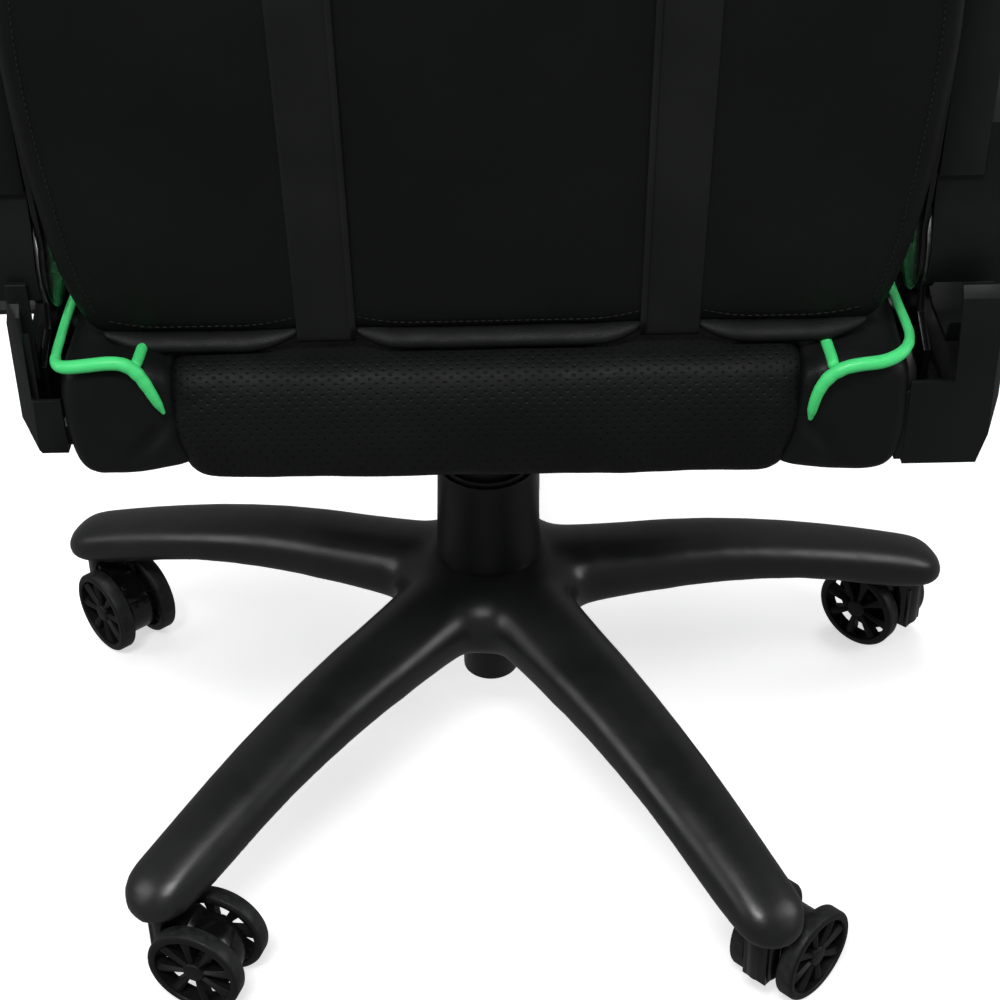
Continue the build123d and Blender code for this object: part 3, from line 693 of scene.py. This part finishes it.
def seat_middle():
    """The perforated middle of the seat, hollow underneath where the board and the mechanism are."""
    outline = rounded(SEAT_MIDDLE, 8, 9)
    rings = []
    shoulder = SEAT_HALF - SEAT_SHOULDER
    for x in np.concatenate([np.linspace(-SEAT_HALF, -shoulder, 9), np.linspace(-152, 152, 41),
                             np.linspace(shoulder, SEAT_HALF, 9)]):
        edge = max(0.0, (abs(x) - shoulder) / SEAT_SHOULDER)
        crown = 1 - (x / SEAT_HALF) ** 2        # the middle bulges most halfway across
        ring = inset(outline, 13 * (1 - math.sqrt(max(0.0, 1 - edge ** 2.4))))
        lift = np.where((ring[:, 1] > 450) & (ring[:, 0] < 100), 9 * crown * crown, 0)
        swell = np.where(ring[:, 0] > 205, 1.5 * crown, 0)
        tuck = 1 - 0.055 * np.clip((425 - ring[:, 1]) / 50, 0, 1) ** 2 * (ring[:, 0] > 100)
        slope = np.where(ring[:, 1] < 400, 0.006 * x, 0)
        rings.append(np.stack([x * tuck, ring[:, 0] + swell, ring[:, 1] + lift + slope], 1))
    seat = new_piece("seat_middle_pad", *skin(rings), "seat", "perforated_leather", ["seat_cushion"])
    remesh(seat, 3.0, smooth=3)
    creases = [((s * 176, 228, 430), (s * 146, 233, 444), 5, -1.3) for s in (1, -1)]
    creases += [((s * 168, 228, 398), (s * 112, 232, 384), 7, -1.2) for s in (1, -1)]
    creases += [((130, 218, 456), (70, 221, 455), 5, -0.8), ((-20, 219, 456), (-75, 221, 455), 6, -0.7),
                ((60, 231, 392), (-40, 231, 386), 8, -0.8), ((-172, 230, 420), (-150, 233, 404), 5, 1.0)]

    def move(p):
        soft = noise.noise(p / 46) * 1.1 + noise.noise(p / 17) * 0.28
        return soft + sum(depth * fold(p, a, b, width) for a, b, width, depth in creases)

    displace(seat, move)


BOLSTER_TOP = profile([(-290, 470), (-262, 482), (-180, 491), (-60, 492), (10, 488), (60, 474), (100, 461),
                       (140, 457.5), (205, 457.5), (228, 456)])
BOLSTER_LOW = profile([(-290, 381), (-100, 378), (100, 381), (180, 383), (228, 385)])
REAR_LIFT = {1: 2.5, -1: -3.0}      # the two hand-upholstered rolls end a little differently at the rear
REAR_SAG = {1: 0.0, -1: 7.0}
BOLSTER_CREASES = {  # by side: (start, end, width, depth) of the folds on a bolster's rear end
    1: [((178, 229, 424), (201, 228, 396), 5, -3.4), ((176, 229, 416), (188, 229, 396), 3.5, 2.4),
        ((177, 229, 404), (196, 229, 386), 4, -2.0), ((205, 228, 455), (222, 229, 440), 8, 1.4),
        ((213, 228, 452), (204, 229, 434), 5, -1.4), ((200, 229, 450), (190, 229, 436), 4, -1.0),
        ((222, 229, 410), (209, 229, 385), 8, -1.2)],
    -1: [((-179, 229, 417), (-198, 228, 392), 5, -3.0), ((-178, 229, 408), (-192, 229, 384), 3.5, 2.2),
         ((-180, 229, 392), (-204, 229, 380), 4, -1.8), ((-190, 228, 444), (-202, 229, 434), 4, -1.4),
         ((-212, 228, 450), (-226, 229, 441), 6, 1.3), ((-226, 229, 415), (-215, 229, 385), 8, -1.2)]}


def bolster(side):
    """A raised side roll of the seat, from the front corner to the rear face."""
    stations = np.concatenate([np.linspace(-290, -270, 8), np.linspace(-255, 205, 40),
                               np.linspace(212, 228, 9)])
    rings = []
    for y in stations:
        near_rear = min(1.0, max(0.0, (y - 80) / 120))
        top = BOLSTER_TOP(y) + REAR_LIFT[side] * near_rear
        low = BOLSTER_LOW(y) - REAR_SAG[side] * near_rear
        rise = max(0.0, top - 462)
        inner = 171 - 20 * near_rear * min(1.0, (230 - y) / 25)
        corners = [(inner, low + 6, 6), (205, low - 2, 20), (231, low + 2, 14), (236, low + 30, 20),
                   (236 - rise * 0.12, top - 14, 10), (231 - rise * 0.35, top, 11), (200, top + 1, 20),
                   (182, top - 2 - rise * 0.35, 12), (174, top - 10 - rise * 0.5, 10)]
        ring = rounded(corners, 7, 5)
        rear = max(0.0, (y - 212) / 16)
        front = max(0.0, (-270 - y) / 20)
        shrink = 7 * (1 - math.sqrt(max(0.0, 1 - rear ** 2.6)))
        shrink += 18 * (1 - math.sqrt(max(0.0, 1 - front ** 2)))
        ring = inset(ring, shrink)
        rings.append(np.stack([side * ring[:, 0], np.full(len(ring), y), ring[:, 1]], 1))
    name = "left" if side > 0 else "right"
    pad = new_piece(f"seat_bolster_{name}", *skin(rings), "seat", "seat_leather", ["seat_cushion"])
    remesh(pad, 2.5, smooth=3)
    creases = BOLSTER_CREASES[side]

    def move(p):
        soft = noise.noise(p / 40 + Vector((7, 0, 0))) * 1.3 + noise.noise(p / 15) * 0.35
        return soft + sum(depth * fold(p, a, b, width) for a, b, width, depth in creases)

    displace(pad, move)


WELT_TOP = [  # (x, y, z, radius) along each bolster's outer seam, from the front
    (222, -276, 470, 2.6), (219, -250, 482, 3.0), (213, -180, 491, 3.0), (212, -60, 492, 3.0),
    (213, 10, 488, 3.0), (220, 60, 475, 3.0), (230, 100, 465, 2.9)]
WELT_REAR = {  # by side: on round the rear corner, across the rear and down to a point
    1: [(235, 160, 462, 2.8), (236, 200, 462, 2.8), (236, 216, 462, 2.9), (234.5, 226, 462, 3.4),
        (229, 230.5, 462.5, 3.9), (218, 231, 463.5, 4.0), (206, 231.5, 465, 4.0), (197, 231.5, 464, 4.0),
        (190.5, 232, 459, 3.9), (186, 232.5, 451.5, 3.6), (182, 232.5, 442, 3.0), (178, 231, 431, 2.0)],
    -1: [(234, 160, 458, 2.8), (235.5, 196, 458.5, 2.8), (235, 210, 459.5, 2.9), (232, 221, 459.5, 3.3),
         (226, 228, 458, 3.8), (217, 231, 456, 4.0), (205, 232, 455, 4.0), (196, 232.5, 453, 4.0),
         (188.5, 233, 448, 3.9), (183.5, 233.5, 440, 3.5), (181, 233, 430, 3.1), (180, 231, 418.5, 2.4)]}
WELT_BRANCH = {  # by side: the inner seam's rear end, which then runs forward under the backrest
    1: [(192, 229, 460.5), (191, 222, 459.75), (190, 206, 459)],
    -1: [(191, 229.5, 452), (191, 222, 452.75), (190, 206, 453.5)]}
BRANCH_FORWARD = [(187, 165, 457), (181, 100, 462), (181, 20, 478), (181, -120, 482), (181, -240, 474),
                  (181, -282, 452)]
BRANCH_R = 3.3


def build_piping():
    """The green welts of the seat; each puckers a little where it turns a corner."""
    for side, name in ((1, "left"), (-1, "right")):
        path = catmull([(side * x, y, z, r) for x, y, z, r in WELT_TOP + WELT_REAR[side]], 320)
        x, y = np.abs(path[:, 0]), path[:, 1]
        bends = np.exp(-((y - 219) / 5) ** 2) + np.exp(-((x - 191) / 6) ** 2) * (y > 229)
        radius = path[:, 3] + 0.24 * np.sin(np.arange(len(path)) * 1.5) * bends
        radius[-5:] *= np.linspace(1, 0.5, 5)
        main = tube(path[:, :3], radius, 14)
        inner = catmull([(side * x, y, z) for x, y, z in WELT_BRANCH[side] + BRANCH_FORWARD], 160)
        branch = tube(inner, BRANCH_R, 12)
        welt = new_piece(f"seat_welt_{name}", *join([main, branch]), "seat", "green_piping", ["seat_piping"])
        subdivide(welt)


# ------------------------------------------------------------------ backrest
LEAN = math.radians(11.0)
BACK_FOOT = (201.0, 456.0)
BACK_H = 835.0
BACK_T = 78.0
NECK_Z = 650.0              # above this height the backrest gets thinner
PANEL_EDGE = 97.0           # from the backrest's side to the welt of its front panel
HALF_W_AT = profile([(0, 212), (14, 222), (40, 230), (80, 236), (190, 241), (330, 232), (450, 248),
                     (560, 267), (610, 264), (650, 244), (690, 208), (745, 178), (800, 160), (825, 146),
                     (835, 130)])
WING_AT = profile([(0, 0), (20, 3), (80, 22), (190, 44), (330, 40), (450, 30), (560, 43), (620, 40),
                   (690, 22), (745, 12), (800, 6), (835, 0)])


def lean(points):
    """From the backrest's own frame to the chair's, in mm."""
    p = np.asarray(points, float)
    y, z = p[..., 1], p[..., 2]
    return np.stack([p[..., 0], BACK_FOOT[0] + y * math.cos(LEAN) + z * math.sin(LEAN),
                     BACK_FOOT[1] - y * math.sin(LEAN) + z * math.cos(LEAN)], -1)


def back_depth(z):
    """Thickness of the backrest's middle at height z, before the foot tapers."""
    return BACK_T if z < NECK_Z else BACK_T - (z - NECK_Z) * 0.12


def back_outline(z):
    """The backrest's outline (x, y) at height z: flat rear, middle panel and two raised wings."""
    half_w, wing, t = HALF_W_AT(z), max(0.0, WING_AT(z)), back_depth(z)
    if z < 30:
        t -= 22 * (1 - z / 30) ** 2
    right = [(half_w - 3, 0, 9), (half_w + 1, -t * 0.35, 16), (half_w - 2, -t * 0.75, 18),
             (half_w - 16, -t - wing, 20), (half_w - 52, -t - wing, 22), (half_w - 90, -t - 1, 16),
             (half_w - 100, -t, 6)]
    left = [(-x, y, r) for x, y, r in reversed(right)]
    return rounded(right + left, 6, 6)


SLOT_CENTRE = (92, 640)     # a belt opening: centre (x, z), end radius, half its straight length, and tilt
SLOT_R = 21
SLOT_STRAIGHT = 35
SLOT_TILT = 14
SLOT_POINTS = 56


def slot_outline(side, grow=0.0):
    """The belt opening's rounded outline (x, z), tilted, in the backrest's frame."""
    ring = []
    tilt = math.radians(SLOT_TILT) * side
    for k in range(SLOT_POINTS):
        a = 2 * math.pi * k / SLOT_POINTS
        x = (SLOT_R + grow) * math.cos(a)
        z = (SLOT_R + grow) * math.sin(a) + (SLOT_STRAIGHT if math.sin(a) >= 0 else -SLOT_STRAIGHT)
        ring.append((side * SLOT_CENTRE[0] + x * math.cos(tilt) + z * math.sin(tilt),
                     SLOT_CENTRE[1] - x * math.sin(tilt) + z * math.cos(tilt)))
    return np.array(ring)


def back_shell():
    """The upholstered backrest, with its two belt openings cut through."""
    heights = np.concatenate([[4, 5.5, 9, 14, 22], np.linspace(34, 800, 62),
                              [808, 816, 823, 829, 833, BACK_H]])
    rings = []
    for z in heights:
        ring = back_outline(z)
        end = max(0.0, (z - 805) / 30, (17 - z) / 13)
        ring = inset(ring, 14 * (1 - math.sqrt(max(0.0, 1 - min(1, end) ** 2.2))))
        rings.append(np.stack([ring[:, 0], ring[:, 1], np.full(len(ring), z)], 1))
    verts, faces = skin(rings)
    back = new_piece("back_upholstery", lean(verts), faces, "back", "back_leather", ["back_cushion"])
    back.data.materials.append(MATERIALS["perforated_leather"])
    subdivide(back)
    for side in (1, -1):
        outline = slot_outline(side)
        prism = [np.stack([outline[:, 0], np.full(len(outline), y), outline[:, 1]], 1) for y in (-160, 60)]
        verts, faces = skin(prism)
        cutter = new_piece(f"slot_cutter_{side}", lean(verts), faces, "back", "back_leather")
        cut = back.modifiers.new("slot", "BOOLEAN")
        cut.object, cut.operation, cut.solver = cutter, "DIFFERENCE", "EXACT"
        apply_modifiers(back)
        bpy.data.objects.remove(cutter)
    inverse = Matrix.Rotation(LEAN, 3, "X")
    for face in back.data.polygons:
        p = inverse @ (face.center / MM - Vector((0, *BACK_FOOT)))
        normal = inverse @ face.normal
        if normal.y < -0.5 and abs(p.x) < HALF_W_AT(p.z) - PANEL_EDGE + 1 and 20 < p.z < 800:
            face.material_index = 1

    def move(p):
        return noise.noise(p / 60) * 0.9 + noise.noise(p / 21) * 0.25

    displace(back, move)


STRAPS = (88.0, -103.0)
STRAP_W = 32.0
STRAP_T = 0.9
STRAP_RIBS = 16


def lip_lobe(name, x0, x1):
    """One bulging lobe of the rolled lower lip; its ends rise and thin beside the straps."""
    rings = []
    for t in np.linspace(0, 1, 40):
        x = x0 + (x1 - x0) * t
        near_end = min(t, 1 - t) * abs(x1 - x0)
        swell = min(1.0, 0.35 + 0.65 * math.sin(min(1, near_end / 22) * math.pi / 2))
        rise = 6.0 * max(0.0, 1 - near_end / 34) ** 2
        ring = []
        for k in range(20):
            a = 2 * math.pi * k / 20
            ring.append((x, -4.0 + 11.0 * swell * math.cos(a), 2.6 + rise + 6.0 * swell * math.sin(a)))
        rings.append(ring)
    verts, faces = skin(rings)
    lip = new_piece(name, lean(verts), faces, "back", "back_leather", ["back_cushion"])
    subdivide(lip)
    displace(lip, lambda p: noise.noise(p / 12) * 0.35)


def strap_loop(x, path):
    """(vertices, faces) of ribbed webbing that follows a closed (y, z) path at one x."""
    path = np.array(path)
    ahead = np.roll(path, -1, 0) - np.roll(path, 1, 0)
    ahead /= np.linalg.norm(ahead, axis=1, keepdims=True)
    outward = np.stack([ahead[:, 1], -ahead[:, 0]], 1)
    steps = STRAP_RIBS * 4
    rings = []
    for p, out in zip(path, outward):
        top, under = [], []
        for k in range(steps + 1):
            across = x + STRAP_W * (k / steps - 0.5)
            high = STRAP_T + 0.28 * math.cos(2 * math.pi * k / 4)
            top.append((across, *(p + out * high)))
            if k % 4 == 0:
                under.append((across, *(p - out * 0.3)))
        rings.append(top + under[::-1])
    return skin(rings, loop=True)


def build_straps():
    y_front, low, high = -BACK_T - 0.6, -0.4, 604.0
    path = rounded([(1.2, low, 7), (1.2, high, 8), (y_front, high, 8), (y_front, low + 4, 10)], 10, 70)
    parts = [strap_loop(x, path[::-1]) for x in STRAPS]
    verts, faces = join(parts)
    new_piece("lumbar_straps", lean(verts), faces, "back", "elastic_webbing", ["elastic_straps"])
    edge = []
    for x, side in ((STRAPS[0], -1), (STRAPS[1], 1)):
        edge.append(skin([[(x + side * 13.5, 1.6, z), (x + side * 16.8, 1.6, z), (x + side * 16.8, 2.5, z),
                           (x + side * 13.5, 2.7, z)] for z in np.linspace(6, 600, 60)]))
    verts, faces = join(edge)
    new_piece("strap_edge_tape", lean(verts), faces, "back", "elastic_webbing")
    rings = []
    for z in np.linspace(706, 736, 61):
        rib = 1.3 + 0.25 * math.cos((z - 706) * math.pi)
        ring = inset(back_outline(z), -rib)
        rings.append(np.stack([ring[:, 0], ring[:, 1], np.full(len(ring), z)], 1))
    for z in (736, 706):
        ring = inset(back_outline(z), 0.4)
        rings.append(np.stack([ring[:, 0], ring[:, 1], np.full(len(ring), z)], 1))
    verts, faces = skin(rings, loop=True)
    new_piece("headrest_band", lean(verts), faces, "back", "elastic_webbing", ["elastic_straps"])


def build_slot_bezels():
    """The plastic rims round the belt openings, proud of both faces of the backrest."""
    front = -BACK_T
    steps = [(7.5, 0.4), (7.0, 2.6), (4.5, 3.4), (1.0, 2.8), (-1.5, 0.5), (-2.0, -6), (-2.0, front + 6),
             (-1.5, front - 0.5), (1.0, front - 2.8), (4.5, front - 3.4), (7.0, front - 2.6),
             (7.5, front - 0.4), (1.5, front + 3), (1.5, -3)]
    for side, name in ((1, "left"), (-1, "right")):
        rings = []
        for grow, y in steps:
            ring = slot_outline(side, grow)
            rings.append(np.stack([ring[:, 0], np.full(len(ring), y), ring[:, 1]], 1))
        verts, faces = skin(rings, loop=True)
        bezel = new_piece(f"belt_bezel_{name}", lean(verts), faces, "back", "cover_plastic")
        subdivide(bezel)


def build_back_welts():
    """Green welts where the front's middle panel meets the wings, and stitched seams on the rear panel."""
    for side, name in ((1, "left"), (-1, "right")):
        path = []
        for z in np.linspace(24, 790, 60):
            path.append((side * (HALF_W_AT(z) - PANEL_EDGE), -back_depth(z) - 0.6, z))
        verts, faces = tube(catmull(path, 200), 3.0, 12)
        new_piece(f"back_welt_{name}", lean(verts), faces, "back", "green_piping")
    rows = []
    for side in (1, -1):
        rows.append([(side * (HALF_W_AT(z) - 13), 0.35, z) for z in np.linspace(26, 700, 50)])
    ends = sorted([-206] + [x + s * 18 for x in STRAPS for s in (-1, 1)] + [206])
    for a, b in zip(ends[::2], ends[1::2]):
        rows.append([(x, 0.35, 15.0 + 5 * max(0, 1 - min(x - a, b - x) / 30) ** 2)
                     for x in np.linspace(a, b, 30)])
    rows = [lean(row) for row in rows]
    stitches("back_stitches", rows, "back", "thread")


def pillow_outline(half_w, half_z):
    """Seam line (x, z) of a pillow: round corners, with sides that pull in a little between them."""
    return rounded([(half_w, -half_z, 22), (half_w - 4, 0, 50), (half_w, half_z, 22),
                    (0, half_z - 3, 90), (-half_w, half_z, 22), (-half_w + 4, 0, 50),
                    (-half_w, -half_z, 22), (0, -half_z + 3, 90)], 7, 5)


def pillow(name, body, node, half_w, y0, y1, z0, z1, cap):
    """A stuffed pillow: its cover is blown up by the cloth solver, with a green welt round its seam."""
    mid_y, half_y = (y0 + y1) / 2 + 4, (y1 - y0) / 2
    mid_z, half_z = (z0 + z1) / 2, (z1 - z0) / 2
    outline = pillow_outline(half_w - 4, half_z - 4)
    reach = np.array([0.05, 0.2, 0.35, 0.5, 0.64, 0.76, 0.86, 0.93, 0.97, 0.99])
    back = [(s, (half_y - 7) * math.sqrt(1 - s ** 6)) for s in reach]
    front = [(s, -(half_y - 4) * math.sqrt(1 - s ** 2.6)) for s in reach]
    rings = [np.stack([outline[:, 0] * s, np.full(len(outline), mid_y + y), mid_z + outline[:, 1] * s], 1)
             for s, y in back + [(1.0, 0.0)] + front[::-1]]
    verts, faces = skin(rings)
    pad = new_piece(name, lean(verts), faces, body, "pillow_leather", [node])
    puff(pad, cap)
    displace(pad, lambda p: noise.noise(p / 30) * 1.0 + noise.noise(p / 12) * 0.3)
    path = np.stack([outline[:, 0], np.full(len(outline), mid_y), mid_z + outline[:, 1]], 1)
    verts, faces = tube(catmull(path, 200, closed=True), 2.6, 10, loop=True)
    new_piece(f"{name}_welt", lean(verts), faces, body, "green_piping")


# ------------------------------------------------------------------ armrests
def armrest_pad(side):
    """Soft PU pad: crowned, with a rolled edge and slightly dished along its middle."""
    name = "left" if side > 0 else "right"
    low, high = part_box(f"armrest_pad_{name}")
    x0, y0, z0 = low / MM
    x1, y1, z1 = high / MM
    outline = rounded([(x0, y0, 34), (x1, y0, 34), (x1, y1, 30), (x0, y1, 30)], 10, 10)
    rings = []
    for rise, shrink in ((0, 9), (0, 3), (2, 0.6), (8, 0), (16, 0), (22, 2), (25.2, 6), (26.6, 12),
                         (27.0, 22), (26.6, 32), (26.3, 40)):
        ring = inset(outline, shrink)
        rings.append(np.stack([ring[:, 0], ring[:, 1], np.full(len(ring), z0 + rise)], 1))
    crown = rings[-1]
    middle = crown.mean(0)
    for t in (0.6, 0.25):
        ring = middle + (crown - middle) * t
        ring[:, 2] = z0 + 26.0
        rings.append(ring)
    pad = new_piece(f"armrest_pad_{name}_soft", *skin(rings), f"armrest_{name}", "armrest_pu",
                    [f"armrest_pad_{name}"])
    subdivide(pad)


# ------------------------------------------------------------------ hinge cover details
def cover_ribs():
    """Dark inner ribs of the two seat hinge covers, beside the steel plates."""
    for name, x0, x1, y0, y1, z0, z1 in (("left", 249.5, 261.5, 200, 204, 438, 499),
                                         ("right", -253.8, -231, 214, 222, 384, 430)):
        corners = [(x0, y0), (x1, y0), (x1, y1), (x0, y1)]
        rings = [[(x, y, z) for x, y in corners] for z in (z0, z1)]
        rib = new_piece(f"hinge_cover_rib_{name}", *skin(rings), "seat", "cover_plastic", smooth=False)
        soften_edges(rib, 0.6)


# ------------------------------------------------------------------ hard parts kept from the CAD
EDGE_WIDTH = {"column_cover_lower": 0.5, "column_cover_middle": 0.4, "column_cover_upper": 0.4,
              "seat_hinge_cover_left": 1.6, "seat_hinge_cover_right": 1.6, "back_hinge_cover_left": 1.4,
              "back_hinge_cover_right": 1.4, "back_hinge_plates": 1.0, "seat_hinge_plates": 1.0,
              "recline_lever": 2.0, "height_lever": 1.5, "armrest_brackets": 1.5, "tension_knob": 1.2}


def finish_cad_nodes():
    """Every CAD node that stays gets its slot's material and softened edges."""
    for name, node in NODES.items():
        node.data.materials.clear()
        node.data.materials.append(MATERIALS[SLOTS[name]])
        if not node.hide_render:
            soften_edges(node, EDGE_WIDTH.get(name, 0.8))


make_camera()
make_light()
make_floor()
make_materials()
build_base()
build_castors()
seat_middle()
for side in (1, -1):
    bolster(side)
    armrest_pad(side)
build_piping()
back_shell()
edges = sorted([-212] + [x + s * (STRAP_W / 2 - 1) for x in STRAPS for s in (-1, 1)] + [212])
for label, (a, b) in zip(("right", "middle", "left"), zip(edges[::2], edges[1::2])):
    lip_lobe(f"back_lip_{label}", a, b)
build_straps()
build_slot_bezels()
build_back_welts()
cover_ribs()
pillow("lumbar_pillow_cover", "back", "lumbar_pillow", 155, -BACK_T - 92, -BACK_T - 2.4, 62, 225, 9)
pillow("headrest_pillow_cover", "back", "headrest_pillow", 130, -BACK_T - 74, -BACK_T - 2.6, 702, 818, 8)
finish_cad_nodes()
